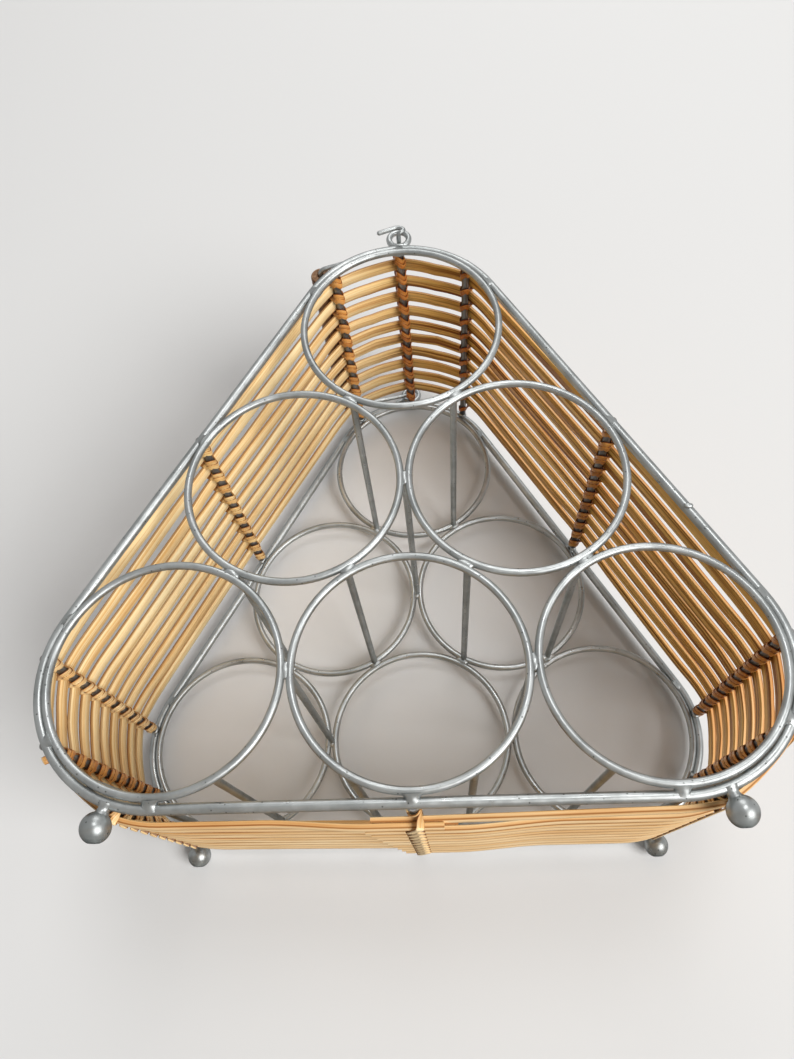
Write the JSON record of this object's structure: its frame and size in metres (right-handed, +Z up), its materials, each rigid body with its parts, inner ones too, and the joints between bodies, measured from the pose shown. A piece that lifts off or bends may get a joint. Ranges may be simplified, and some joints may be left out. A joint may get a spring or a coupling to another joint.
{
  "type": "wine rack",
  "caption": "Triangular wine rack of welded wire hoops, wrapped in rattan slats bound with cane, on ball feet, with a swinging handle.",
  "frame": {"origin": "on the floor, under the centre of the rack between its four feet", "axes": "+Z up, +X to the right seen from the front, +Y from the front frame to the back frame, along the bottles"},
  "size_m": [0.3174, 0.1555, 0.303],
  "materials": {
    "steel": "silver-grey satin paint on welded steel wire",
    "rattan": "split rattan with a clear coat",
    "cane": "split cane with a smooth skin",
    "turned_wood": "turned brown wood, dull"
  },
  "bodies": {
    "rack": {"back_frame_rod": "steel", "back_hoop_low_left": "steel", "back_hoop_low_middle": "steel", "back_hoop_low_right": "steel", "back_hoop_mid_left": "steel", "back_hoop_mid_right": "steel", "back_hoop_top": "steel", "eye_back": "steel", "eye_front": "steel", "foot_back_left": "steel", "foot_back_right": "steel", "foot_front_left": "steel", "foot_front_right": "steel", "front_frame_rod": "steel", "front_hoop_low_left": "steel", "front_hoop_low_middle": "steel", "front_hoop_low_right": "steel", "front_hoop_mid_left": "steel", "front_hoop_mid_right": "steel", "front_hoop_top": "steel", "lashing_base_middle": "cane", "lashing_left_after": "cane", "lashing_left_before": "cane", "lashing_left_corner": "cane", "lashing_left_middle": "cane", "lashing_right_after": "cane", "lashing_right_before": "cane", "lashing_right_corner": "cane", "lashing_right_middle": "cane", "lashing_top_after": "cane", "lashing_top_before": "cane", "lashing_top_corner": "cane", "rib_base_middle": "steel", "rib_left_after": "steel", "rib_left_before": "steel", "rib_left_corner": "steel", "rib_left_middle": "steel", "rib_right_after": "steel", "rib_right_before": "steel", "rib_right_corner": "steel", "rib_right_middle": "steel", "rib_top_after": "steel", "rib_top_before": "steel", "rib_top_corner": "steel", "slat_01": "rattan", "slat_02": "rattan", "slat_03": "rattan", "slat_04": "rattan", "slat_05": "rattan", "slat_06": "rattan", "slat_07": "rattan", "slat_08": "rattan", "slat_09": "rattan", "slat_10": "rattan", "spacer_rod_left": "steel", "spacer_rod_right": "steel", "spacer_rod_upper": "steel"},
    "handle": {"handle_bail": "steel", "handle_grip": "turned_wood"}
  },
  "joints": [
    {"name": "handle_swing", "type": "hinge", "parent": "rack", "child": "handle", "pos_m": [0, 0, 0.29415], "axis": [0, 1, 0], "range_deg": [0, 204.7]}
  ]
}
